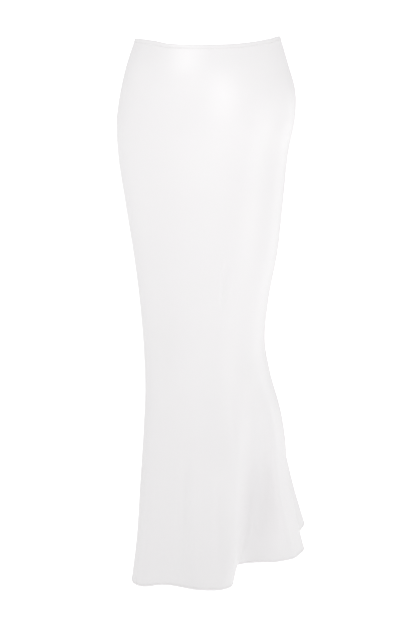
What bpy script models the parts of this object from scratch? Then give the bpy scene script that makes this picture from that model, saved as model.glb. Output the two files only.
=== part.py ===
"""Bias-cut maxi skirt in ivory satin, as it hangs when it is worn.

A narrow satin skirt cut on the bias: smooth over the hip, drawn in at the
knee, then flaring to a narrow turned hem that swings into a few deep folds.
It is two panels joined at the side seams, a narrow waist binding, and a
concealed zip in the wearer's left side seam.

The waist is level, its centre is the origin, +Z is up and the skirt's front
faces -Y. Lengths in the tables are millimetres.
"""
import math
from collections import namedtuple

import bmesh
import bpy
import numpy as np
from mathutils import Matrix

MM = 0.001

LENGTH = 1000.0         # waist edge to hem edge at the side seam
WALL = 1.2              # the satin's wall
SEAM_GAP = 0.3          # between two pieces that are sewn together
BINDING_HEIGHT = 8.0    # waist binding, folded over the top of both panels
BINDING_PROUD = 0.5     # how far it stands out from the panels
BINDING_WALL = 2.0
HEM_HEIGHT = 5.5        # narrow hem, turned twice and stitched
HEM_PROUD = 0.4         # its extra thickness on each face

SIDE_SEAMS = (-70.0, 110.0)     # degrees, seen square to the hips (see cloth)
TURN = -20.0                    # turns that square view so the front faces -Y

ZIP_ROWS = 6            # the tape ends at this row of the panels, about 200 mm down
TAPE_TOP = 2.0          # just under the waist edge
TAPE_WIDTH = 24.0
TAPE_WALL = 0.8
SLIDER_DROP = 14.0      # middle of the slider, below the waist edge
SLIDER = (5.6, 9.0, 1.7)        # across, along the seam, thick
CROWN = (1.5, 6.8, 2.9)         # the bridge on the slider: across, along, high
EYE = 4.4               # height of the gap under the crown along the seam
PIVOT = (1.0, 2.9)      # the pull's pin: down from the slider's middle, out from the cloth
PULL_REST = 4.0         # degrees that the pull leans in, to lie on the satin
PIN = 1.0
PULL_WIDTH = 5.0
PULL_LENGTH = 23.0
PULL_THICK = 1.0

PANEL_COLUMNS = 44
PANEL_ROWS = 27

# One row for each section of the skirt, measured square to the hips: how far
# below the waist it lies, how far the cloth reaches to the left, right, near
# and far side of the origin, and how much nearer its left half hangs.
Section = namedtuple("Section", "drop left right near far lean")
SECTIONS = (
    Section(0, 133, 132, 86, 90, 0),
    Section(50, 150, 147, 100, 99, 0),
    Section(100, 162, 161, 108, 112, 0),
    Section(150, 169, 161, 112, 121, 0),
    Section(210, 167, 150, 113, 124, 2),
    Section(300, 154, 141, 114, 118, 6),
    Section(400, 138, 131, 116, 108, 12),
    Section(500, 126, 114, 118, 104, 20),
    Section(580, 120, 109, 122, 104, 28),
    Section(640, 118, 119.5, 126, 106, 34),
    Section(720, 121, 140, 132, 110, 42),
    Section(770, 124, 147, 136, 113, 46),
    Section(820, 127, 150, 140, 116, 50),
    Section(910, 131, 162.5, 149, 121, 56),
    Section(1000, 138, 182, 158, 126, 62),
)

# One row for each fold. An angle is 0 at the near side and grows towards the
# right. A fold starts at one angle and reaches the hem at another, turning
# late. It spreads by start_left and start_right where it starts and by left
# and right at the hem, where it stands out (or, when negative, in) by its
# depth, along the direction it faces.
Fold = namedtuple("Fold", "name start_angle hem_angle start_left start_right left right"
                  " start depth growth facing")
FOLDS = (
    Fold("left_edge_ridge", -72, -80, 22, 26, 22, 26, 660, 8, 1.2, -70),
    Fold("left_flat", -40, -40, 26, 26, 26, 26, 640, -22, 1.2, 0),
    Fold("front_lobe", 14, 0, 30, 12, 30, 12, 620, 12, 1.3, 0),
    Fold("deep_fold", 39, 17, 23, 24, 10, 54, 615, -100, 1.2, 6.5),
    Fold("right_lobe", 84, 86, 18, 18, 18, 18, 640, 8, 1.0, 80),
    Fold("back_lobe", 126, 128, 26, 26, 26, 26, 600, 54, 1.0, 124),
    Fold("back_trough", 164, 168, 20, 20, 20, 20, 640, -26, 1.2, 168),
    Fold("back_ridge", -158, -158, 20, 22, 20, 22, 640, 28, 1.2, -158),
    Fold("left_back_trough", -124, -120, 22, 22, 22, 22, 640, -18, 1.2, -120),
)

# Height of the waist edge and of the hem edge around the skirt.
Edge = namedtuple("Edge", "angle waist hem")
EDGES = (
    Edge(-180, -15, -985),
    Edge(-135, -11, -992),
    Edge(-90, 0, -1001),
    Edge(-74, -1, -1004.5),
    Edge(-58, -2, -1002),
    Edge(-44, -5, -998.5),
    Edge(-32, -9.3, -996),
    Edge(-18, -11, -995),
    Edge(6, -11, -998),
    Edge(22, -9.5, -997.5),
    Edge(40, -5.5, -996.5),
    Edge(58, -0.5, -990.7),
    Edge(72, 3, -991),
    Edge(88, 3.5, -988),
    Edge(125, -5, -972),
    Edge(155, -13, -978),
)


def smooth(table, key, value, at, period=None):
    """Read one column of a table at any place, on a smooth curve through its rows."""
    keys = np.array([getattr(row, key) for row in table], float)
    values = np.array([getattr(row, value) for row in table], float)
    at = np.asarray(at, float)
    if period:
        at = (at - keys[0]) % period + keys[0]
        keys = np.concatenate(([keys[-1] - period], keys, keys[:2] + period))
        values = np.concatenate((values[-1:], values, values[:2]))
    step = np.diff(keys)
    slope = np.diff(values) / step
    tangent = np.empty_like(values)
    tangent[0], tangent[-1] = slope[0], slope[-1]
    tangent[1:-1] = (slope[:-1] * step[1:] + slope[1:] * step[:-1]) / (step[1:] + step[:-1])
    i = np.clip(np.searchsorted(keys, at, side="right") - 1, 0, len(keys) - 2)
    u = (at - keys[i]) / step[i]
    return ((2 * u**3 - 3 * u**2 + 1) * values[i]
            + (u**3 - 2 * u**2 + u) * step[i] * tangent[i]
            + (3 * u**2 - 2 * u**3) * values[i + 1]
            + (u**3 - u**2) * step[i] * tangent[i + 1])


def cloth(angle, drop):
    """Points of the satin's outer face, in mm: a leaning oval section with its folds."""
    angle, drop = np.broadcast_arrays(np.asarray(angle, float), np.asarray(drop, float))
    left, right, near, far, lean = (smooth(SECTIONS, "drop", side, drop)
                                    for side in ("left", "right", "near", "far", "lean"))
    round_ = np.radians(angle)
    x = (right - left) / 2 + (right + left) / 2 * np.sin(round_)
    y = (far - near) / 2 - (far + near) / 2 * np.cos(round_) + lean * np.sin(round_)
    for fold in FOLDS:
        grown = np.clip((drop - fold.start) / (LENGTH - fold.start), 0, 1)
        late = grown**4
        middle = fold.start_angle + (fold.hem_angle - fold.start_angle) * late
        off = (angle - middle + 180) % 360 - 180
        off = off / np.where(off < 0, fold.start_left + (fold.left - fold.start_left) * late,
                             fold.start_right + (fold.right - fold.start_right) * late)
        off = np.clip(off, -1, 1)
        push = fold.depth * grown**fold.growth * np.cos(math.pi / 2 * off)**2
        x = x + push * math.sin(math.radians(fold.facing))
        y = y - push * math.cos(math.radians(fold.facing))
    top = smooth(EDGES, "angle", "waist", angle, 360)
    hem = smooth(EDGES, "angle", "hem", angle, 360)
    z = top + (hem - top) * drop / LENGTH
    turn = math.radians(TURN)
    return np.stack((x * math.cos(turn) - y * math.sin(turn),
                     x * math.sin(turn) + y * math.cos(turn), z), axis=-1)


def along(angle, drop):
    """How the outer face runs: mm per degree round the skirt, and mm per mm down it."""
    round_ = (cloth(angle + 0.25, drop) - cloth(angle - 0.25, drop)) / 0.5
    down = (cloth(angle, drop + 1.0) - cloth(angle, drop - 1.0)) / 2.0
    return round_, down


def outward(angle, drop):
    round_, down = along(angle, drop)
    normal = np.cross(down, round_)
    return normal / np.linalg.norm(normal, axis=-1, keepdims=True)


def spread(first, last, columns):
    """Angles from one edge to the other, evenly spaced along the cloth itself."""
    fine = np.linspace(first, last, 1441)
    length = sum(np.linalg.norm(np.diff(cloth(fine, drop), axis=0), axis=1)
                 for drop in (150.0, LENGTH))
    run = np.concatenate(([0.0], np.cumsum(length)))
    return np.interp(np.linspace(0, run[-1], columns + 1), run, fine)


def fit_between(angles, drops, first_gap, last_gap):
    """A grid of angles, row by row, kept clear of the seam at each side by a gap in mm."""
    angles = np.broadcast_to(angles, (len(drops), len(angles))).copy()
    for column, gap in ((0, first_gap), (-1, -last_gap)):
        round_, _ = along(angles[:, column], drops)
        angles[:, column] += gap / np.linalg.norm(round_, axis=-1)
    return angles


def strip(angles, drops, face, back):
    """A closed wall: its outer face and its inner face, at these distances from the satin."""
    rows, columns = angles.shape
    drop = np.broadcast_to(np.asarray(drops)[:, None], angles.shape)
    surface, normal = cloth(angles, drop), outward(angles, drop)
    face = np.broadcast_to(face, (rows,))[:, None, None]
    back = np.broadcast_to(back, (rows,))[:, None, None]
    mesh = bmesh.new()
    outer, inner = ([[mesh.verts.new(point) for point in row]
                     for row in (surface + normal * shift) * MM] for shift in (face, back))
    for r in range(rows - 1):
        for c in range(columns - 1):
            mesh.faces.new((outer[r][c], outer[r + 1][c], outer[r + 1][c + 1], outer[r][c + 1]))
            mesh.faces.new((inner[r][c], inner[r][c + 1], inner[r + 1][c + 1], inner[r + 1][c]))
    for c in range(columns - 1):
        mesh.faces.new((outer[0][c], outer[0][c + 1], inner[0][c + 1], inner[0][c]))
        mesh.faces.new((outer[-1][c + 1], outer[-1][c], inner[-1][c], inner[-1][c + 1]))
    for r in range(rows - 1):
        mesh.faces.new((outer[r + 1][0], outer[r][0], inner[r][0], inner[r + 1][0]))
        mesh.faces.new((outer[r][-1], outer[r + 1][-1], inner[r + 1][-1], inner[r][-1]))
    bmesh.ops.recalc_face_normals(mesh, faces=mesh.faces)
    return mesh


def finish(name, mesh, material, sharp=40):
    data = bpy.data.meshes.new(name)
    mesh.to_mesh(data)
    mesh.free()
    data.materials.append(material)
    data.shade_smooth()
    data.set_sharp_from_angle(angle=math.radians(sharp))
    piece = bpy.data.objects.new(name, data)
    bpy.context.collection.objects.link(piece)
    return piece


def finish_material(name, colour, roughness, metallic=0.0):
    material = bpy.data.materials.new(name)
    material.use_nodes = True
    shader = material.node_tree.nodes["Principled BSDF"]
    shader.inputs["Base Color"].default_value = (*colour, 1.0)
    shader.inputs["Roughness"].default_value = roughness
    shader.inputs["Metallic"].default_value = metallic
    return material


def panel_drops():
    """The rows of both panels: down to the hem, then across its turned edge."""
    hem_start = LENGTH - HEM_HEIGHT
    return np.concatenate((np.linspace(BINDING_HEIGHT + SEAM_GAP, hem_start - 0.6, PANEL_ROWS),
                           (hem_start, LENGTH)))


def panel(name, first_seam, last_seam, material):
    """One bias-cut panel from the binding to the hem, its last millimetres turned up."""
    drops = panel_drops()
    in_hem = drops > LENGTH - HEM_HEIGHT - 0.1
    angles = fit_between(spread(first_seam, last_seam, PANEL_COLUMNS), drops,
                         SEAM_GAP / 2, SEAM_GAP / 2)
    mesh = strip(angles, drops, np.where(in_hem, HEM_PROUD, 0.0),
                 np.where(in_hem, -WALL - HEM_PROUD, -WALL))
    return finish(name, mesh, material)


def waist_binding(material):
    """The folded binding: one band round the waist, open only at the zip."""
    drops = np.array((0.0, BINDING_HEIGHT))
    first = SIDE_SEAMS[1]
    angles = fit_between(spread(first, first + 360.0, 72), drops, SEAM_GAP / 2, SEAM_GAP / 2)
    mesh = strip(angles, drops, BINDING_PROUD, BINDING_PROUD - BINDING_WALL)
    return finish("waist_binding", mesh, material)


def zip_tape(material):
    """The two tapes and the closed coil of the zip, as one band inside the seam."""
    drops = np.concatenate(((TAPE_TOP,), panel_drops()[:ZIP_ROWS]))
    round_, _ = along(np.full(len(drops), SIDE_SEAMS[1]), drops)
    half = TAPE_WIDTH / 2 / np.linalg.norm(round_, axis=-1)
    angles = SIDE_SEAMS[1] + half[:, None] * np.linspace(-1, 1, 3)[None, :]
    back = BINDING_PROUD - BINDING_WALL - SEAM_GAP
    return finish("zip_tape", strip(angles, drops, back, back - TAPE_WALL), material)


def seam_frame(drop):
    """Axes at the zip: X along the waist, Y up the seam, Z straight out of the cloth."""
    angle = np.array(SIDE_SEAMS[1])
    place = cloth(angle, np.array(drop)) * MM
    _, down = along(angle, np.array(drop))
    out = outward(angle, np.array(drop))
    up = -down / np.linalg.norm(down)
    side = np.cross(up, out)
    frame = Matrix([(*row, 0.0) for row in np.stack((side, up, out), axis=1)] + [(0, 0, 0, 1)])
    frame.translation = place
    return frame


def block(mesh, low, high):
    """A box between two corners, in mm, added to a mesh."""
    size = [b - a for a, b in zip(low, high)]
    middle = [(a + b) / 2 * MM for a, b in zip(low, high)]
    place = Matrix.Translation(middle) @ Matrix.Diagonal([s * MM for s in size] + [1.0])
    bmesh.ops.create_cube(mesh, size=1.0, matrix=place)


def union(name, pieces, material, bevel):
    """Boxes joined into one solid, then eased along their edges."""
    base = finish(name, pieces[0], material)
    cutters = [finish(name + "_join", piece, material) for piece in pieces[1:]]
    for cutter in cutters:
        join = base.modifiers.new("join", "BOOLEAN")
        join.operation = "UNION"
        join.solver = "EXACT"
        join.object = cutter
    bpy.context.view_layer.update()
    joined = bpy.data.meshes.new_from_object(
        base.evaluated_get(bpy.context.evaluated_depsgraph_get()))
    base.modifiers.clear()
    base.data = joined
    for cutter in cutters:
        bpy.data.objects.remove(cutter)
    ease = base.modifiers.new("ease", "BEVEL")
    ease.width = bevel * MM
    ease.segments = 1
    ease.limit_method = "ANGLE"
    ease.angle_limit = math.radians(60)
    return base


def zip_slider(material):
    """The slider's body on the seam, with the crown that carries the pull."""
    across, length, thick = SLIDER
    wide, span, high = CROWN
    foot = SEAM_GAP + 0.1
    face = foot + thick
    leg = (span - EYE) / 2
    pieces = []
    for low, high_ in (
            ((-across / 2, -length / 2, foot), (across / 2, length / 2, face)),
            ((-wide / 2, span / 2 - leg, face - 0.3), (wide / 2, span / 2, face + high)),
            ((-wide / 2, -span / 2, face - 0.3), (wide / 2, -span / 2 + leg, face + high)),
            ((-wide / 2, -span / 2 + 0.1, face + high - 1.0),
             (wide / 2, span / 2 - 0.1, face + high - 0.02))):
        mesh = bmesh.new()
        block(mesh, low, high_)
        pieces.append(mesh)
    slider = union("zip_slider", pieces, material, 0.2)
    slider.matrix_world = seam_frame(SLIDER_DROP)
    return slider


def zip_pull(material):
    """The pull tab: a pin under the crown, two arms past it and a slim rounded tab."""
    half, t = PULL_WIDTH / 2, PULL_THICK / 2
    arm = 1.3
    reach = 8.0
    pieces = []
    for low, high in (
            ((-half, -PIN / 2, -PIN / 2), (half, PIN / 2, PIN / 2)),
            ((-half, -reach, -t), (-half + arm, PIN / 2 - 0.02, t)),
            ((half - arm, -reach, -t), (half, PIN / 2 - 0.02, t))):
        mesh = bmesh.new()
        block(mesh, low, high)
        pieces.append(mesh)
    tab = bmesh.new()
    outline = [(half - 0.01, -reach + 1.4), (-half + 0.01, -reach + 1.4)]
    for k in range(9):
        turn = math.pi * (1 + k / 8)
        outline.append(((half - 0.4) * math.cos(turn),
                        -PULL_LENGTH + half - 0.4 + (half - 0.4) * math.sin(turn)))
    corners = [tab.verts.new((x * MM, y * MM, -(t - 0.02) * MM)) for x, y in outline]
    sheet = tab.faces.new(corners)
    grown = bmesh.ops.extrude_face_region(tab, geom=[sheet])
    bmesh.ops.translate(tab, vec=(0, 0, 2 * (t - 0.02) * MM),
                        verts=[v for v in grown["geom"] if isinstance(v, bmesh.types.BMVert)])
    bmesh.ops.recalc_face_normals(tab, faces=tab.faces)
    pieces.append(tab)
    pull = union("zip_pull", pieces, material, 0.15)
    down, out = PIVOT
    pull.matrix_world = (seam_frame(SLIDER_DROP) @ Matrix.Translation((0, -down * MM, out * MM))
                         @ Matrix.Rotation(math.radians(PULL_REST), 4, "X"))
    return pull


def build():
    for old in list(bpy.data.objects):
        bpy.data.objects.remove(old)
    satin = finish_material("ivory satin", (0.90, 0.885, 0.87), 0.38)
    binding = finish_material("ivory satin binding", (0.90, 0.885, 0.87), 0.42)
    tape = finish_material("white zip tape", (0.86, 0.85, 0.83), 0.75)
    lacquer = finish_material("white lacquered metal", (0.86, 0.85, 0.83), 0.30)
    left, right = SIDE_SEAMS
    panel("front_panel", left, right, satin)
    panel("back_panel", right, left + 360.0, satin)
    waist_binding(binding)
    zip_tape(tape)
    zip_slider(lacquer)
    zip_pull(lacquer)


build()
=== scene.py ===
"""Looks of a bias-cut maxi skirt in ivory satin, hung from its waist as it is worn.

Two fine satin panels, a folded waist binding, seam allowances, stitches and a
concealed side zip are laid on the skirt's own form, in its own sizes.
The cloth's own lengths are millimetres and its angles degrees; the stage is in metres.
"""
import math
from collections import namedtuple

import bmesh
import bpy
import numpy as np
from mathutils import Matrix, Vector


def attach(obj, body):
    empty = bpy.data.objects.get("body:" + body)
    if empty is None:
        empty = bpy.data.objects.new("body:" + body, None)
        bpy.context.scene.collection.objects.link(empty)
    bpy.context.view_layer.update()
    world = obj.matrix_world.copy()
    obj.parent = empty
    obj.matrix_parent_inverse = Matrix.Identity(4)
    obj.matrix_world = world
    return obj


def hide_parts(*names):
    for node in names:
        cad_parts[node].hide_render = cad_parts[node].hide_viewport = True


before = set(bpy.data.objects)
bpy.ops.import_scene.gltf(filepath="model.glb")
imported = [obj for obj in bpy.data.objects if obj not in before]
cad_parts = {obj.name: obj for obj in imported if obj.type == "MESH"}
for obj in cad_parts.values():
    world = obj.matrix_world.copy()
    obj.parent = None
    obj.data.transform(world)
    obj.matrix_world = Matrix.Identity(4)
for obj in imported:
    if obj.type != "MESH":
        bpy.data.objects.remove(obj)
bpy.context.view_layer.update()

MM = 0.001
LENGTH = 1000.0                 # waist edge to hem edge at the side seam
WALL = 1.2                      # thickness of a panel
BINDING_HEIGHT, BINDING_PROUD, BINDING_WALL = 8.0, 0.5, 2.0
HEM_HEIGHT, HEM_PROUD = 5.5, 0.4
SEAMS = {"left": -70.0, "zip": 110.0}   # angles of the two side seams
TURN = -20.0                    # the photograph looks square on to the tables below
WAIST_STITCH = 6.6              # row of stitches, below the waist edge
HEM_STITCH = 4.4                # row of stitches, above the hem edge
HEM_ROWS = (0.1, 0.3, 0.6, 1.0, 1.5, 2.1, 2.8, 3.6, 4.1, 4.4, 4.8, 5.2, 5.7, 6.2, 7.0, 8.2)
EDGE_ROLL = 2.2                 # radius of a seam or a hem where it rolls under
SEAM_DIP, SEAM_REACH = 0.55, 7.0    # how deep a seam lies, and how far its puckers reach
ZIP_TOP, ZIP_END = 12.0, 196.0  # the coil and the end of its tapes, down the zip's seam
ALLOWANCE = 12.0                # seam allowance, pressed open inside
PRESSED_GAP = 0.10              # from a panel's inside to its pressed allowance
OVERLOCK = 1.7                  # from an allowance's edge to the middle of its overlock
TAPE_FACE, TAPE_THICK = -1.85, 0.42     # the zip's tapes lie on the allowances
COIL_PITCH, COIL_WIDTH, COIL_HEIGHT, FILAMENT = 1.5, 3.0, 1.1, 0.5
STOP_WIDTH, STOP_LENGTH = 5.4, 3.2      # the zip's bottom stop

# ---------------------------------------------------------------- the skirt's form

Section = namedtuple("Section", "drop left right near far lean")
SECTIONS = (
    Section(0, 133, 132, 86, 90, 0),
    Section(50, 150, 147, 100, 99, 0),
    Section(100, 162, 161, 108, 112, 0),
    Section(150, 169, 161, 112, 121, 0),
    Section(210, 167, 150, 113, 124, 2),
    Section(300, 154, 141, 114, 118, 6),
    Section(400, 138, 131, 116, 108, 12),
    Section(500, 126, 114, 118, 104, 20),
    Section(580, 120, 109, 122, 104, 28),
    Section(640, 118, 119.5, 126, 106, 34),
    Section(720, 121, 140, 132, 110, 42),
    Section(770, 124, 147, 136, 113, 46),
    Section(820, 127, 150, 140, 116, 50),
    Section(910, 131, 162.5, 149, 121, 56),
    Section(1000, 138, 182, 158, 126, 62),
)

# A fold turns late from its first angle to the one it has at the hem, and spreads
# to the left and right of it by what it starts with and what it reaches there.
Fold = namedtuple("Fold", "name start_angle hem_angle start_left start_right left right"
                  " start depth growth facing")
FOLDS = (
    Fold("left_edge_ridge", -72, -80, 22, 26, 22, 26, 660, 8, 1.2, -70),
    Fold("left_flat", -40, -40, 26, 26, 26, 26, 640, -22, 1.2, 0),
    Fold("front_lobe", 14, 0, 30, 12, 30, 12, 620, 12, 1.3, 0),
    Fold("deep_fold", 39, 17, 23, 24, 10, 54, 615, -100, 1.2, 6.5),
    Fold("right_lobe", 84, 86, 18, 18, 18, 18, 640, 8, 1.0, 80),
    Fold("back_lobe", 126, 128, 26, 26, 26, 26, 600, 54, 1.0, 124),
    Fold("back_trough", 164, 168, 20, 20, 20, 20, 640, -26, 1.2, 168),
    Fold("back_ridge", -158, -158, 20, 22, 20, 22, 640, 28, 1.2, -158),
    Fold("left_back_trough", -124, -120, 22, 22, 22, 22, 640, -18, 1.2, -120),
)

Edge = namedtuple("Edge", "angle waist hem")
EDGES = (
    Edge(-180, -15, -985), Edge(-135, -11, -992), Edge(-90, 0, -1001),
    Edge(-74, -1, -1004.5), Edge(-58, -2, -1002), Edge(-44, -5, -998.5),
    Edge(-32, -9.3, -996), Edge(-18, -11, -995), Edge(6, -11, -998),
    Edge(22, -9.5, -997.5), Edge(40, -5.5, -996.5), Edge(58, -0.5, -990.7),
    Edge(72, 3, -991), Edge(88, 3.5, -988), Edge(125, -5, -972), Edge(155, -13, -978),
)

# Soft creases in the satin: where each begins and ends, how wide it is to
# each side and how far it stands out (or in). None changes the outline.
Crease = namedtuple("Crease", "angle drop end_angle end_drop width depth")
CREASES = (
    Crease(-24, 740, -25, 1010, 9, -4.4),
    Crease(3, 790, 1, 1000, 8, -3.8),
    Crease(16, 385, 14, 480, 5, -2.6),
    Crease(148, 700, 144, 1005, 10, -2.6),
    Crease(-146, 760, -150, 1005, 9, -2.4),
    Crease(-104, 800, -103, 1005, 8, -2.2),
    Crease(-172, 330, -176, 500, 8, -1.3),
    Crease(172, 420, 176, 560, 7, -1.1),
)


def smooth(table, key, value, at, period=None):
    """Read one column of a table at any place, on a smooth curve through its rows."""
    keys = np.array([getattr(row, key) for row in table], float)
    values = np.array([getattr(row, value) for row in table], float)
    at = np.asarray(at, float)
    if period:
        at = (at - keys[0]) % period + keys[0]
        keys = np.concatenate(([keys[-1] - period], keys, keys[:2] + period))
        values = np.concatenate((values[-1:], values, values[:2]))
    step = np.diff(keys)
    slope = np.diff(values) / step
    tangent = np.empty_like(values)
    tangent[0], tangent[-1] = slope[0], slope[-1]
    tangent[1:-1] = (slope[:-1] * step[1:] + slope[1:] * step[:-1]) / (step[1:] + step[:-1])
    i = np.clip(np.searchsorted(keys, at, side="right") - 1, 0, len(keys) - 2)
    u = (at - keys[i]) / step[i]
    return ((2 * u**3 - 3 * u**2 + 1) * values[i]
            + (u**3 - 2 * u**2 + u) * step[i] * tangent[i]
            + (3 * u**2 - 2 * u**3) * values[i + 1]
            + (u**3 - u**2) * step[i] * tangent[i + 1])


def cloth(angle, drop):
    """Points of the satin's outer face, in mm: a leaning oval section with its folds."""
    angle, drop = np.broadcast_arrays(np.asarray(angle, float), np.asarray(drop, float))
    left, right, near, far, lean = (smooth(SECTIONS, "drop", side, drop)
                                    for side in ("left", "right", "near", "far", "lean"))
    round_ = np.radians(angle)
    x = (right - left) / 2 + (right + left) / 2 * np.sin(round_)
    y = (far - near) / 2 - (far + near) / 2 * np.cos(round_) + lean * np.sin(round_)
    for fold in FOLDS:
        grown = np.clip((drop - fold.start) / (LENGTH - fold.start), 0, 1)
        late = grown**4
        middle = fold.start_angle + (fold.hem_angle - fold.start_angle) * late
        off = (angle - middle + 180) % 360 - 180
        off = off / np.where(off < 0, fold.start_left + (fold.left - fold.start_left) * late,
                             fold.start_right + (fold.right - fold.start_right) * late)
        off = np.clip(off, -1, 1)
        push = fold.depth * grown**fold.growth * np.cos(math.pi / 2 * off)**2
        x = x + push * math.sin(math.radians(fold.facing))
        y = y - push * math.cos(math.radians(fold.facing))
    top = smooth(EDGES, "angle", "waist", angle, 360)
    hem = smooth(EDGES, "angle", "hem", angle, 360)
    z = top + (hem - top) * drop / LENGTH
    turn = math.radians(TURN)
    return np.stack((x * math.cos(turn) - y * math.sin(turn),
                     x * math.sin(turn) + y * math.cos(turn), z), axis=-1)


def along(angle, drop):
    """How the outer face runs: mm per degree round the skirt, and mm per mm down it."""
    round_ = (cloth(angle + 0.25, drop) - cloth(angle - 0.25, drop)) / 0.5
    down = (cloth(angle, drop + 1.0) - cloth(angle, drop - 1.0)) / 2.0
    return round_, down


def outward(angle, drop):
    """The way out of the cloth, as a unit vector."""
    round_, down = along(angle, drop)
    normal = np.cross(down, round_)
    return normal / np.linalg.norm(normal, axis=-1, keepdims=True)


def spread(first, last, columns):
    """Angles from one edge to the other, evenly spaced along the cloth itself."""
    fine = np.linspace(first, last, 1441)
    length = sum(np.linalg.norm(np.diff(cloth(fine, drop), axis=0), axis=1)
                 for drop in (150.0, LENGTH))
    run = np.concatenate(([0.0], np.cumsum(length)))
    return np.interp(np.linspace(0, run[-1], columns + 1), run, fine)


def run_along(angles, drop):
    """Distance in mm along the cloth from the first angle to each of them, at one drop."""
    step = np.linalg.norm(np.diff(cloth(angles, drop), axis=0), axis=1)
    return np.concatenate(([0.0], np.cumsum(step)))


def uneven(run, pitch, bend, drift):
    """A wave along the cloth whose crests, about a pitch apart, come unevenly."""
    return np.sin(2 * math.pi * run / pitch + bend * np.sin(run / drift))


def creased(angle, drop):
    """How far the soft creases move the satin, in mm, outwards."""
    shift = np.zeros(np.broadcast(angle, drop).shape)
    for crease in CREASES:
        t = np.clip((drop - crease.drop) / (crease.end_drop - crease.drop), 0, 1)
        middle = crease.angle + (crease.end_angle - crease.angle) * t
        across = 2.0 * ((angle - middle + 180) % 360 - 180)     # about 2 mm a degree
        fade = np.sin(math.pi * t)**0.8
        shift = shift + crease.depth * fade * np.exp(-(across / crease.width)**2)
    return shift


# ---------------------------------------------------------------- materials

def add_node(tree, kind, inputs=None, **settings):
    """Adds a node. An input that is given a socket is joined to it, and any other is set."""
    made = tree.nodes.new(kind)
    for key, value in settings.items():
        setattr(made, key, value)
    for key, value in (inputs or {}).items():
        if isinstance(value, bpy.types.NodeSocket):
            tree.links.new(value, made.inputs[key])
        else:
            made.inputs[key].default_value = value
    return made


class Shader:
    """A Principled material and a short way to add and join its nodes."""

    def __init__(self, name, **sockets):
        self.material = bpy.data.materials.new(name)
        self.material.use_nodes = True
        self.tree = self.material.node_tree
        self.principled = self.tree.nodes["Principled BSDF"]
        for socket, value in sockets.items():
            self.principled.inputs[socket.replace("_", " ")].default_value = value

    def node(self, kind, inputs=None, **settings):
        return add_node(self.tree, "ShaderNode" + kind, inputs, **settings)

    def shade(self, socket, value):
        self.tree.links.new(value, self.principled.inputs[socket])


def satin(name, tint=1.0):
    """Ivory satin: long floats on the bias, a soft gloss and faint slubs."""
    ivory = (0.865 * tint, 0.852 * tint, 0.858 * tint, 1.0)
    s = Shader(name, Base_Color=ivory, Roughness=0.34, Specular_IOR_Level=0.5,
               Sheen_Weight=0.06, Sheen_Roughness=0.5)
    uv = s.node("UVMap", uv_map="cloth")
    bias = s.node("Mapping", {"Vector": uv.outputs["UV"], "Rotation": (0, 0, math.radians(45))})
    floats = s.node("Mapping", {"Vector": bias.outputs["Vector"], "Scale": (60, 2600, 1)})
    yarns = s.node("TexNoise", {"Vector": floats.outputs["Vector"], "Scale": 1.0,
                                "Detail": 2.0}, noise_dimensions="2D")
    slubs = s.node("Mapping", {"Vector": bias.outputs["Vector"], "Scale": (14, 260, 1)})
    slub = s.node("TexNoise", {"Vector": slubs.outputs["Vector"], "Scale": 1.0,
                               "Detail": 3.0}, noise_dimensions="2D")
    cloud = s.node("TexNoise", {"Vector": uv.outputs["UV"], "Scale": 9.0, "Detail": 3.0},
                   noise_dimensions="2D")
    darker, lighter = (tuple(c * share for c in ivory[:3]) + (1.0,) for share in (0.985, 1.012))
    tone = s.node("Mix", {0: cloud.outputs["Fac"], 6: darker, 7: lighter}, data_type="RGBA")
    s.shade("Base Color", tone.outputs[2])
    gloss = s.node("MapRange", {"Value": slub.outputs["Fac"], "To Min": 0.30, "To Max": 0.38})
    s.shade("Roughness", gloss.outputs["Result"])
    fine = s.node("Bump", {"Height": yarns.outputs["Fac"], "Strength": 0.10, "Distance": 0.0001})
    coarse = s.node("Bump", {"Height": slub.outputs["Fac"], "Strength": 0.12,
                             "Distance": 0.0003, "Normal": fine.outputs["Normal"]})
    s.shade("Normal", coarse.outputs["Normal"])
    return s.material


def woven(name, colour, pitch=0.0006):
    """Plain tape: a tight even weave with a matt face."""
    s = Shader(name, Base_Color=(*colour, 1.0), Roughness=0.75, Specular_IOR_Level=0.3)
    uv = s.node("UVMap", uv_map="cloth")
    height = None
    for direction in ("X", "Y"):
        wave = s.node("TexWave", {"Vector": uv.outputs["UV"], "Scale": 1 / (20 * pitch)},
                      bands_direction=direction, wave_profile="SIN")
        height = wave.outputs["Fac"] if height is None else s.node(
            "Math", {0: height, 1: wave.outputs["Fac"]}, operation="MULTIPLY").outputs[0]
    bump = s.node("Bump", {"Height": height, "Strength": 0.35, "Distance": 0.0002})
    s.shade("Normal", bump.outputs["Normal"])
    return s.material


def thread(name, colour):
    """Spun thread: two plies seen as fine slanting ridges."""
    s = Shader(name, Base_Color=(*colour, 1.0), Roughness=0.5, Specular_IOR_Level=0.4)
    place = s.node("TexCoord")
    ply = s.node("TexWave", {"Vector": place.outputs["Object"], "Scale": 900.0},
                 bands_direction="DIAGONAL")
    bump = s.node("Bump", {"Height": ply.outputs["Fac"], "Strength": 0.3, "Distance": 0.0001})
    s.shade("Normal", bump.outputs["Normal"])
    return s.material


def lacquer(name, colour):
    """A hard white face: smooth, with a little orange peel and an uneven gloss."""
    s = Shader(name, Base_Color=(*colour, 1.0), Roughness=0.28, Specular_IOR_Level=0.5)
    place = s.node("TexCoord")
    peel = s.node("TexNoise", {"Vector": place.outputs["Object"], "Scale": 1400.0, "Detail": 2.0})
    rub = s.node("MapRange", {"Value": peel.outputs["Fac"], "To Min": 0.24, "To Max": 0.36})
    s.shade("Roughness", rub.outputs["Result"])
    bump = s.node("Bump", {"Height": peel.outputs["Fac"], "Strength": 0.08, "Distance": 0.0001})
    s.shade("Normal", bump.outputs["Normal"])
    return s.material


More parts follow.
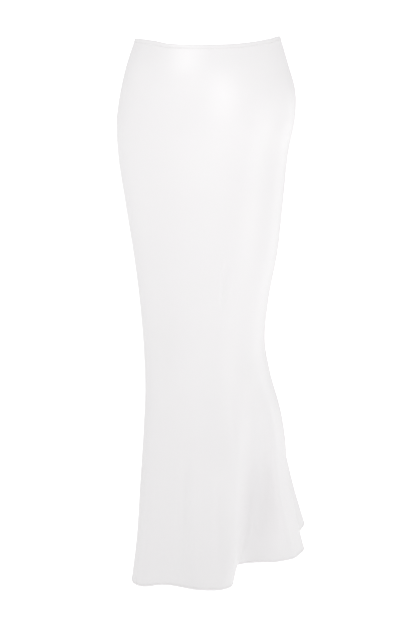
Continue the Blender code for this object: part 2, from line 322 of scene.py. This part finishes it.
SATIN = satin("ivory satin, bias cut")
BINDING = satin("ivory satin binding", 0.985)
TAPE = woven("white zip tape", (0.80, 0.79, 0.78))
THREAD = thread("ivory sewing thread", (0.78, 0.765, 0.75))
COIL = lacquer("white nylon coil", (0.80, 0.79, 0.78))
LACQUER = lacquer("white lacquered metal", (0.84, 0.83, 0.82))


# ---------------------------------------------------------------- cloth walls

def wall(name, angles, drops, face, back, material):
    """A closed shell of cloth. face and back are grids of offsets from the satin, in mm."""
    drop = np.broadcast_to(np.asarray(drops, float)[:, None], angles.shape)
    surface, normal = cloth(angles, drop), outward(angles, drop)
    rows, columns = angles.shape
    sides = [(surface + normal * np.broadcast_to(off, angles.shape)[..., None]) * MM
             for off in (face, back)]
    step = np.linalg.norm(np.diff(surface, axis=1), axis=-1).mean(axis=0) * MM
    u = np.concatenate(([0.0], np.cumsum(step)))
    v = drop[:, 0] * MM
    verts = np.concatenate([side.reshape(-1, 3) for side in sides])
    uvs = np.tile(np.stack(np.meshgrid(u, v), axis=-1).reshape(-1, 2), (2, 1))

    def at(layer, r, c):
        return layer * rows * columns + r * columns + c

    r, c = (grid.ravel() for grid in np.meshgrid(np.arange(rows - 1), np.arange(columns - 1),
                                                 indexing="ij"))
    outer = np.stack((at(0, r, c), at(0, r + 1, c), at(0, r + 1, c + 1), at(0, r, c + 1)), axis=1)
    inner = np.stack((at(1, r, c), at(1, r, c + 1), at(1, r + 1, c + 1), at(1, r + 1, c)), axis=1)
    cs, rs = np.arange(columns - 1), np.arange(rows - 1)
    top = np.stack((at(0, 0, cs), at(0, 0, cs + 1), at(1, 0, cs + 1), at(1, 0, cs)), axis=1)
    low = np.stack((at(0, rows - 1, cs + 1), at(0, rows - 1, cs), at(1, rows - 1, cs),
                    at(1, rows - 1, cs + 1)), axis=1)
    first = np.stack((at(0, rs + 1, 0), at(0, rs, 0), at(1, rs, 0), at(1, rs + 1, 0)), axis=1)
    last = np.stack((at(0, rs, columns - 1), at(0, rs + 1, columns - 1),
                     at(1, rs + 1, columns - 1), at(1, rs, columns - 1)), axis=1)
    faces = np.concatenate((outer, inner, top, low, first, last))
    mesh = bpy.data.meshes.new(name)
    mesh.from_pydata(verts.tolist(), [], faces.tolist())
    mesh.uv_layers.new(name="cloth").data.foreach_set(
        "uv", uvs[faces.ravel()].ravel().astype(np.float32))
    mesh.materials.append(material)
    mesh.shade_smooth()
    mesh.set_sharp_from_angle(angle=math.radians(50))
    piece = bpy.data.objects.new(name, mesh)
    bpy.context.collection.objects.link(piece)
    return piece


def rounded(distance, radius):
    """1 away from an edge, falling to 0 on it as a rounded shoulder does."""
    t = np.clip(distance / radius, 0, 1)
    return np.sqrt(1 - (1 - t)**2)


def seam_distance(angles, drops, first, last):
    """Each point's distance in mm from the nearer of its panel's two seams."""
    round_, _ = along(angles, drops)
    pace = np.linalg.norm(round_, axis=-1)
    return np.minimum((angles - first) * pace, (last - angles) * pace)


def edge_rows(start, end, count, fine_start=(), fine_end=()):
    """Drops from start to end, with extra rows close to either end."""
    rows = np.concatenate((start + np.array(fine_start, float),
                           np.linspace(start, end, count),
                           end - np.array(fine_end, float)))
    return np.unique(np.round(rows, 3))


def satin_panel(name, first, last, node, columns=132, rows=226):
    """One panel: fine satin with its creases, rolled into each seam and turned up at the hem."""
    drops = edge_rows(BINDING_HEIGHT + 0.1, LENGTH, rows, (0.4, 1.0, 2.0), HEM_ROWS)
    spots = spread(first, last, columns)
    near = np.array((0.02, 0.12, 0.3, 0.6, 1.0)) * 0.6
    spots = np.unique(np.concatenate((spots, first + near, last - near)))
    angles = np.broadcast_to(spots, (len(drops), len(spots))).copy()
    drop = np.broadcast_to(drops[:, None], angles.shape)
    seam = seam_distance(angles, drop, first, last)
    face = creased(angles, drop)
    roll = 1 - rounded(np.clip(seam, 0, None), EDGE_ROLL)
    pucker = 0.16 * uneven(drop, pitch=17.0, bend=2.0, drift=61.0)
    near_seam = np.exp(-(seam / SEAM_REACH)**2)
    face = face - SEAM_DIP * roll + pucker * near_seam
    to_hem = LENGTH - drop
    ledge = 1 / (1 + np.exp((to_hem - HEM_HEIGHT) / 0.25))
    ripple = 0.20 * uneven(run_along(spots, LENGTH), pitch=13.0, bend=1.7, drift=47.0)[None, :]
    proud = ledge * (HEM_PROUD + ripple * np.exp(-(to_hem / 9.0)**2))
    roll_out = (1 - rounded(to_hem, EDGE_ROLL)) * (WALL / 2 + HEM_PROUD)
    stitched = 0.42 * np.exp(-((to_hem - HEM_STITCH) / 0.6)**2)
    face = face + proud - roll_out - stitched
    back = creased(angles, drop) - WALL - ledge * HEM_PROUD + roll_out + stitched
    back = np.minimum(back, face - 0.25)
    piece = wall(name, angles, drops, face, back, SATIN)
    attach(piece, "skirt")
    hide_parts(node)
    return piece


front = satin_panel("front_satin", SEAMS["left"], SEAMS["zip"], "front_panel")
back = satin_panel("back_satin", SEAMS["zip"], SEAMS["left"] + 360, "back_panel")


def folded_binding():
    """The waist binding: a soft fold at the top edge, a crisp lower edge, faint puckers."""
    first = SEAMS["zip"]
    spots = spread(first + 0.15, first + 359.85, 420)
    drops = edge_rows(0.0, BINDING_HEIGHT, 15, (0.06, 0.2, 0.4, 0.8), (0.1, 0.25, 0.4))
    angles = np.broadcast_to(spots, (len(drops), len(spots))).copy()
    drop = np.broadcast_to(drops[:, None], angles.shape)
    top = rounded(drop, 2.4)
    low = rounded(BINDING_HEIGHT - drop, 0.5)
    run = run_along(spots, BINDING_HEIGHT / 2)[None, :]
    pucker = 0.08 * uneven(run, pitch=9.0, bend=2.2, drift=37.0)
    pucker = pucker * np.exp(-((drop - 6.0) / 3.0)**2)
    stitched = 0.2 * np.exp(-((drop - WAIST_STITCH) / 0.45)**2)
    middle = BINDING_PROUD - BINDING_WALL / 2
    half = BINDING_WALL / 2 * np.minimum(top, 0.72 + 0.28 * low)
    face = middle + half - 0.15 + pucker - stitched
    inside = np.minimum(middle - half + stitched, face - 0.1)
    piece = wall("waist_fold", angles, drops, face, inside, BINDING)
    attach(piece, "skirt")
    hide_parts("waist_binding")


folded_binding()


# ---------------------------------------------------------------- stitches and zip coil

class Nodes:
    """A geometry node tree with named inputs, and a short way to add its nodes."""

    def __init__(self, name, inputs):
        self.tree = bpy.data.node_groups.new(name, "GeometryNodeTree")
        face = self.tree.interface
        face.new_socket("Geometry", in_out="INPUT", socket_type="NodeSocketGeometry")
        face.new_socket("Geometry", in_out="OUTPUT", socket_type="NodeSocketGeometry")
        for label, kind in inputs.items():
            face.new_socket(label, in_out="INPUT", socket_type="NodeSocket" + kind)
        self.start = self.tree.nodes.new("NodeGroupInput")
        self.end = self.tree.nodes.new("NodeGroupOutput")

    def node(self, kind, inputs=None, **settings):
        return add_node(self.tree, kind, inputs, **settings)

    def given(self, label):
        return self.start.outputs[label]

    def result(self, socket):
        self.tree.links.new(socket, self.end.inputs["Geometry"])


def places_along(n, turned_by):
    """Points a pitch apart on the guide line, each facing out of the cloth, then turned on it."""
    line = n.node("GeometryNodeMeshToCurve", {"Mesh": n.given("Geometry")})
    points = n.node("GeometryNodeCurveToPoints", {"Curve": line.outputs["Curve"],
                                                  "Length": n.given("Pitch")}, mode="LENGTH")
    out = n.node("GeometryNodeInputNamedAttribute", {"Name": "out"}, data_type="FLOAT_VECTOR")
    run = n.node("FunctionNodeAlignRotationToVector",
                 {"Vector": points.outputs["Tangent"]}, axis="X")
    flat = n.node("FunctionNodeAlignRotationToVector",
                  {"Rotation": run.outputs["Rotation"], "Vector": out.outputs["Attribute"]},
                  axis="Z", pivot_axis="X")
    turn = n.node("ShaderNodeCombineXYZ", {"Z": n.given(turned_by)})
    tilt = n.node("FunctionNodeEulerToRotation", {"Euler": turn.outputs["Vector"]})
    turned = n.node("FunctionNodeRotateRotation",
                    {"Rotation": flat.outputs["Rotation"], "Rotate By": tilt.outputs["Rotation"]},
                    rotation_space="LOCAL")
    return points.outputs["Points"], turned.outputs["Rotation"]


def lay_each(n, places, shape):
    """Puts the shape at every place and ends the tree with one smooth mesh of them all."""
    points, rotation = places
    laid = n.node("GeometryNodeInstanceOnPoints", {"Points": points, "Instance": shape,
                                                   "Rotation": rotation})
    real = n.node("GeometryNodeRealizeInstances", {"Geometry": laid.outputs["Instances"]})
    soft = n.node("GeometryNodeSetShadeSmooth", {"Geometry": real.outputs["Geometry"]})
    painted = n.node("GeometryNodeSetMaterial", {"Geometry": soft.outputs["Geometry"],
                                                 "Material": n.given("Material")})
    n.result(painted.outputs["Geometry"])
    return n.tree


def stitch_tree():
    """Lays one small rounded stitch after another along a line on the cloth."""
    n = Nodes("row of stitches", {"Pitch": "Float", "Stitch Length": "Float",
                                  "Thread Width": "Float", "Thread Height": "Float",
                                  "Slant": "Float", "Material": "Material"})
    places = places_along(n, "Slant")
    bead = n.node("GeometryNodeMeshUVSphere", {"Segments": 6, "Rings": 5, "Radius": 0.5})
    size = n.node("ShaderNodeCombineXYZ", {"X": n.given("Thread Height"),
                                           "Y": n.given("Thread Width"),
                                           "Z": n.given("Stitch Length")})
    lie = n.node("GeometryNodeTransform", {"Geometry": bead.outputs["Mesh"],
                                           "Scale": size.outputs["Vector"]})
    lay = n.node("GeometryNodeTransform", {"Geometry": lie.outputs["Geometry"],
                                           "Rotation": (0, math.radians(90), 0)})
    return lay_each(n, places, lay.outputs["Geometry"])


STITCHES = stitch_tree()


def line_on_cloth(name, angles, drops, off):
    """A thin guide line on the satin, with the way out of the cloth stored on it."""
    place = (cloth(angles, drops) + outward(angles, drops) * np.asarray(off)[..., None]) * MM
    mesh = bpy.data.meshes.new(name)
    mesh.from_pydata(place.tolist(), [(i, i + 1) for i in range(len(place) - 1)], [])
    out = mesh.attributes.new("out", "FLOAT_VECTOR", "POINT")
    out.data.foreach_set("vector", outward(angles, drops).astype(np.float32).ravel())
    guide = bpy.data.objects.new(name, mesh)
    bpy.context.collection.objects.link(guide)
    return guide


def grow(guide, tree, values):
    """Runs a node tree on a guide and keeps the result as a plain mesh."""
    modifier = guide.modifiers.new("grow", "NODES")
    modifier.node_group = tree
    for item in tree.interface.items_tree:
        if item.item_type == "SOCKET" and item.in_out == "INPUT" and item.name in values:
            modifier[item.identifier] = values[item.name]
    depsgraph = bpy.context.evaluated_depsgraph_get()
    mesh = bpy.data.meshes.new_from_object(guide.evaluated_get(depsgraph))
    guide.modifiers.clear()
    guide.data = mesh
    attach(guide, "skirt")


def stitches(name, angles, drops, off, length=2.3, gap=0.7, width=0.42, height=0.30, slant=4.0):
    """A row of stitches that lie off the satin by off; sizes in mm, slant in degrees."""
    guide = line_on_cloth(name, angles, drops, np.broadcast_to(off, np.shape(angles)))
    grow(guide, STITCHES, {
        "Pitch": (length + gap) * MM, "Stitch Length": length * MM, "Thread Width": width * MM,
        "Thread Height": height * MM, "Slant": math.radians(slant), "Material": THREAD})


waist_line = spread(SEAMS["zip"] + 1.2, SEAMS["zip"] + 358.8, 500)
stitches("waist_stitches", waist_line, np.full_like(waist_line, WAIST_STITCH), BINDING_PROUD - 0.30)
stitches("waist_stitches_inside", waist_line, np.full_like(waist_line, WAIST_STITCH),
         BINDING_PROUD - BINDING_WALL + 0.16)
for place, first, last in (("front", SEAMS["left"], SEAMS["zip"]),
                           ("back", SEAMS["zip"], SEAMS["left"] + 360)):
    hem_line = spread(first + 0.2, last - 0.2, 700)
    stitches(f"{place}_hem_stitches", hem_line, np.full_like(hem_line, LENGTH - HEM_STITCH),
             HEM_PROUD - 0.18)
    stitches(f"{place}_hem_stitches_inside", hem_line, np.full_like(hem_line, LENGTH - HEM_STITCH),
             -WALL - HEM_PROUD + 0.18)


# ---------------------------------------------------------------- inside the side seams

def beside(seam, across, drops):
    """Angles that lie given distances (mm, to the right when positive) from a seam."""
    round_, _ = along(np.full(len(drops), seam), drops)
    pace = np.linalg.norm(round_, axis=-1)
    return seam + np.atleast_2d(across) / pace[:, None]


def seam_strip(name, seam, across, drops, face, thick, material):
    """A narrow band that follows a seam on the inside of the skirt."""
    angles = beside(seam, np.sort(across), drops)
    order = np.argsort(across)
    face = np.broadcast_to(face, (len(drops), len(across)))[:, order]
    thick = np.broadcast_to(thick, face.shape)[:, order]
    piece = wall(name, angles, drops, face, face - thick, material)
    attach(piece, "skirt")
    return piece


def seam_line(seam, across, drops):
    """Angles of a line that keeps one distance, in mm, from a seam."""
    return beside(seam, [across], drops)[:, 0]


def edge_lift(drops, flat_to):
    """How far an allowance's edge stands off the satin, in mm: not at all down to flat_to."""
    free = np.clip((drops - flat_to) / 60.0, 0, 1)
    wave = 0.6 + 0.4 * np.sin(drops / 19.0 + 2.0 * np.sin(drops / 83.0))
    return 0.9 * free * wave


def allowance(place, seam, side, flat_to):
    """One pressed-open allowance: flat under the zip, its overlocked edge lifting lower down."""
    drops = edge_rows(BINDING_HEIGHT + 1.0, LENGTH - HEM_HEIGHT - 0.8, 170)
    reach = np.array((0.3, 1.2, 3.0, 5.5, 8.0, 10.0, ALLOWANCE - 0.5, ALLOWANCE))
    lift = PRESSED_GAP + edge_lift(drops, flat_to)[:, None] * (reach[None, :] / ALLOWANCE)**2.5
    hollow = creased(beside(seam, side * reach, drops), drops[:, None])
    face = hollow - WALL - lift
    thick = 0.40 * rounded(ALLOWANCE - reach + 0.25, 0.5)[None, :]
    seam_strip(f"{place}_allowance", seam, side * reach, drops, face, thick, SATIN)
    edge = np.linspace(drops[0] + 2, drops[-1] - 2, 600)
    share = ((ALLOWANCE - OVERLOCK) / ALLOWANCE)**2.5
    line = seam_line(seam, side * (ALLOWANCE - OVERLOCK), edge)
    stitches(f"{place}_overlock", line, edge,
             creased(line, edge) - WALL - PRESSED_GAP - edge_lift(edge, flat_to) * share - 0.46,
             length=3.5, gap=-1.1, width=0.30, height=0.26, slant=side * 68)


for place, seam, side, flat_to in (("left_front", SEAMS["left"], 1, 0.0),
                                   ("left_back", SEAMS["left"], -1, 0.0),
                                   ("zip_front", SEAMS["zip"], -1, ZIP_END),
                                   ("zip_back", SEAMS["zip"], 1, ZIP_END)):
    allowance(place, seam, side, flat_to)


def zip_tapes():
    """Two woven tapes, a beaded edge beside the coil and a selvedge outside."""
    drops = edge_rows(2.6, ZIP_END, 90)
    for place, side in (("front", -1), ("back", 1)):
        reach = np.array((0.45, 0.9, 1.6, 2.6, 5.0, 7.5, 10.0, 11.2, 11.7))
        bead = 0.22 * np.exp(-((reach - 1.3) / 0.6)**2) + 0.12 * np.exp(-((reach - 11.3) / 0.4)**2)
        piece = seam_strip(f"zip_{place}_tape", SEAMS["zip"], side * reach, drops,
                           TAPE_FACE, TAPE_THICK + bead[None, :], TAPE)
        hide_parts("zip_tape")
        line = np.linspace(4.0, ZIP_END - 3.0, 260)
        stitches(f"zip_{place}_stitches", seam_line(SEAMS["zip"], side * 6.2, line), line,
                 TAPE_FACE - 0.46, width=0.36)


def coil_tree():
    """Loops of a drawn filament, one after another along a line."""
    n = Nodes("zip coil", {"Pitch": "Float", "Coil Width": "Float", "Coil Height": "Float",
                           "Filament": "Float", "Lean": "Float", "Material": "Material"})
    places = places_along(n, "Lean")
    ring = n.node("GeometryNodeCurvePrimitiveCircle", {"Resolution": 10, "Radius": 0.5})
    size = n.node("ShaderNodeCombineXYZ", {"X": n.given("Coil Height"), "Y": n.given("Coil Width"),
                                           "Z": 1.0})
    oval = n.node("GeometryNodeTransform", {"Geometry": ring.outputs["Curve"],
                                            "Scale": size.outputs["Vector"]})
    half = n.node("ShaderNodeMath", {0: n.given("Filament"), 1: 0.5}, operation="MULTIPLY")
    round_ = n.node("GeometryNodeCurvePrimitiveCircle", {"Resolution": 5,
                                                         "Radius": half.outputs[0]})
    loop = n.node("GeometryNodeCurveToMesh", {"Curve": oval.outputs["Geometry"],
                                              "Profile Curve": round_.outputs["Curve"]})
    upright = n.node("GeometryNodeTransform", {"Geometry": loop.outputs["Mesh"],
                                               "Rotation": (0, math.radians(90), 0)})
    return lay_each(n, places, upright.outputs["Geometry"])


def zip_coil():
    """The closed coil: loops from the front and the back tape, one between the next two."""
    tree = coil_tree()
    for place, side, phase in (("front", -1, 0.0), ("back", 1, COIL_PITCH / 2)):
        line = np.linspace(ZIP_TOP + phase, ZIP_END - 6.0 + phase, 400)
        guide = line_on_cloth(f"zip_{place}_coil", seam_line(SEAMS["zip"], side * 0.55, line), line,
                              np.full_like(line, TAPE_FACE - 0.95))
        grow(guide, tree, {"Pitch": COIL_PITCH * MM, "Coil Width": COIL_WIDTH * MM,
                           "Coil Height": COIL_HEIGHT * MM, "Filament": FILAMENT * MM,
                           "Lean": math.radians(side * 7), "Material": COIL})


def zip_stop():
    """The clamp that closes the coil at its lower end."""
    drops = np.linspace(ZIP_END - 5.6, ZIP_END - 2.4, 9)
    reach = np.linspace(-STOP_WIDTH / 2, STOP_WIDTH / 2, 11)
    edge = np.minimum(STOP_WIDTH / 2 - np.abs(reach)[None, :],
                      STOP_LENGTH / 2 - np.abs(drops - drops.mean())[:, None])
    swell = rounded(np.clip(edge, 0, None), 0.9)
    seam_strip("zip_bottom_stop", SEAMS["zip"], reach, drops, TAPE_FACE - 0.3,
               0.5 + 1.25 * swell, LACQUER)


zip_tapes()
zip_coil()
zip_stop()

for node in ("zip_slider", "zip_pull"):
    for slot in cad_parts[node].material_slots:
        slot.material = LACQUER


# ---------------------------------------------------------------- stage, light and camera

FLOOR, STAGE_RADIUS, STAGE_TOP, BEND = -1.13, 5.0, 4.0, 1.6
CAMERA_DISTANCE, CAMERA_PITCH = 2.8, 10.30
LAMP_AIM = (0.0, 0.0, -0.5)
Lamp = namedtuple("Lamp", "name bearing height distance size watts")
LAMPS = (
    Lamp("high left box", -30, 1.1, 1.8, 0.6, 5.0),
    Lamp("high middle box", -15, 1.1, 1.8, 0.6, 3.8),
    Lamp("middle box", 14, 0.3, 1.8, 0.6, 4.2),
    Lamp("low right box", 62, -0.5, 1.8, 0.6, 1.6),
    Lamp("right rim box", 120, -0.7, 2.4, 1.2, 2.9),
)
# How bright each side of the room round the skirt is.
CEILING, GROUND, FRONT_WALL, SIDE_WALLS, BACK_WALL = 0.52, 1.20, 0.735, 1.02, 0.92


def studio_floor():
    """A pale floor that curves up all round the skirt into a white backdrop."""
    profile = [(0.0, FLOOR), (STAGE_RADIUS - BEND, FLOOR)]
    for k in range(1, 13):
        a = math.pi / 2 * k / 12
        profile.append((STAGE_RADIUS - BEND + BEND * math.sin(a),
                        FLOOR + BEND - BEND * math.cos(a)))
    profile.append((STAGE_RADIUS, STAGE_TOP))
    steps = 72
    verts, faces = [], []
    for k in range(steps):
        a = 2 * math.pi * k / steps
        verts += [(r * math.cos(a), r * math.sin(a), z) for r, z in profile]
    rows = len(profile)
    for k in range(steps):
        here, there = k * rows, (k + 1) % steps * rows
        for r in range(rows - 1):
            faces.append((here + r, there + r, there + r + 1, here + r + 1))
    mesh = bpy.data.meshes.new("studio_floor")
    mesh.from_pydata(verts, [], faces)
    shell = bmesh.new()
    shell.from_mesh(mesh)
    bmesh.ops.remove_doubles(shell, verts=shell.verts, dist=0.0001)
    bmesh.ops.recalc_face_normals(shell, faces=shell.faces)
    bmesh.ops.reverse_faces(shell, faces=shell.faces)
    shell.to_mesh(mesh)
    shell.free()
    mesh.shade_smooth()
    paint = Shader("pale studio floor", Base_Color=(0.92, 0.92, 0.92, 1.0), Roughness=0.9,
                   Specular_IOR_Level=0.1, Emission_Color=(1, 1, 1, 1), Emission_Strength=1.0)
    mesh.materials.append(paint.material)
    sweep = bpy.data.objects.new("studio_floor", mesh)
    bpy.context.collection.objects.link(sweep)
    sweep.visible_diffuse = sweep.visible_glossy = sweep.visible_shadow = False


def lamp(row):
    """A square softbox, placed by its bearing from the camera's side and aimed at LAMP_AIM."""
    data = bpy.data.lights.new(row.name, "AREA")
    data.shape = "SQUARE"
    data.size = row.size
    data.energy = row.watts
    light = bpy.data.objects.new(row.name, data)
    bpy.context.collection.objects.link(light)
    a = math.radians(row.bearing + TURN)
    light.location = (math.sin(a) * row.distance, -math.cos(a) * row.distance, row.height)
    light.rotation_mode = "QUATERNION"
    light.rotation_quaternion = (light.location - Vector(LAMP_AIM)).to_track_quat("Z", "Y")
    light.visible_camera = False


def studio_camera():
    """Level with the waist, looking a little down, 20 degrees round to the skirt's right."""
    data = bpy.data.cameras.new("camera")
    data.lens, data.sensor_width = 87.0, 36.0
    data.clip_end = 50
    camera = bpy.data.objects.new("camera", data)
    bpy.context.collection.objects.link(camera)
    a = math.radians(TURN)
    camera.location = (math.sin(a) * CAMERA_DISTANCE, -math.cos(a) * CAMERA_DISTANCE, 0.0)
    camera.rotation_euler = (math.radians(90 - CAMERA_PITCH), 0, a)
    bpy.context.scene.camera = camera


def room_light():
    """A pale room: its ceiling, its floor, and walls that blend from front to sides to back."""
    world = bpy.data.worlds.new("pale room")
    world.use_nodes = True
    tree = world.node_tree
    background = tree.nodes["Background"]

    def node(kind, inputs, **settings):
        return add_node(tree, "ShaderNode" + kind, inputs, **settings).outputs

    way = node("VectorRotate", {"Vector": node("TexCoord", {})["Generated"],
                                "Angle": math.radians(-TURN)}, rotation_type="Z_AXIS")[0]
    level = node("VectorMath", {0: way, 1: (1, 1, 0)}, operation="MULTIPLY")[0]
    depth = node("SeparateXYZ", {"Vector": node("VectorMath", {0: level},
                                                operation="NORMALIZE")[0]})["Y"]
    height = node("SeparateXYZ", {"Vector": way})["Z"]
    before = node("MapRange", {"Value": depth, "From Min": -0.7, "From Max": 0.0,
                               "To Min": FRONT_WALL, "To Max": SIDE_WALLS})[0]
    behind = node("MapRange", {"Value": depth, "From Min": 0.0, "From Max": 0.7,
                               "To Min": 0.0, "To Max": BACK_WALL - SIDE_WALLS})[0]
    walls = node("Math", {0: before, 1: behind}, operation="ADD")[0]
    to_floor = node("MapRange", {"Value": height, "From Min": -0.3, "From Max": -0.63})[0]
    lower = node("Mix", {0: to_floor, 2: walls, 3: GROUND}, data_type="FLOAT")[0]
    to_ceiling = node("MapRange", {"Value": height, "From Min": 0.3, "From Max": 0.63})[0]
    light = node("Mix", {0: to_ceiling, 2: lower, 3: CEILING}, data_type="FLOAT")[0]
    tree.links.new(light, background.inputs["Strength"])
    background.inputs["Color"].default_value = (1, 1, 1, 1)
    bpy.context.scene.world = world


studio_floor()
for row in LAMPS:
    lamp(row)
room_light()
bpy.context.scene.view_settings.view_transform = "Standard"
studio_camera()
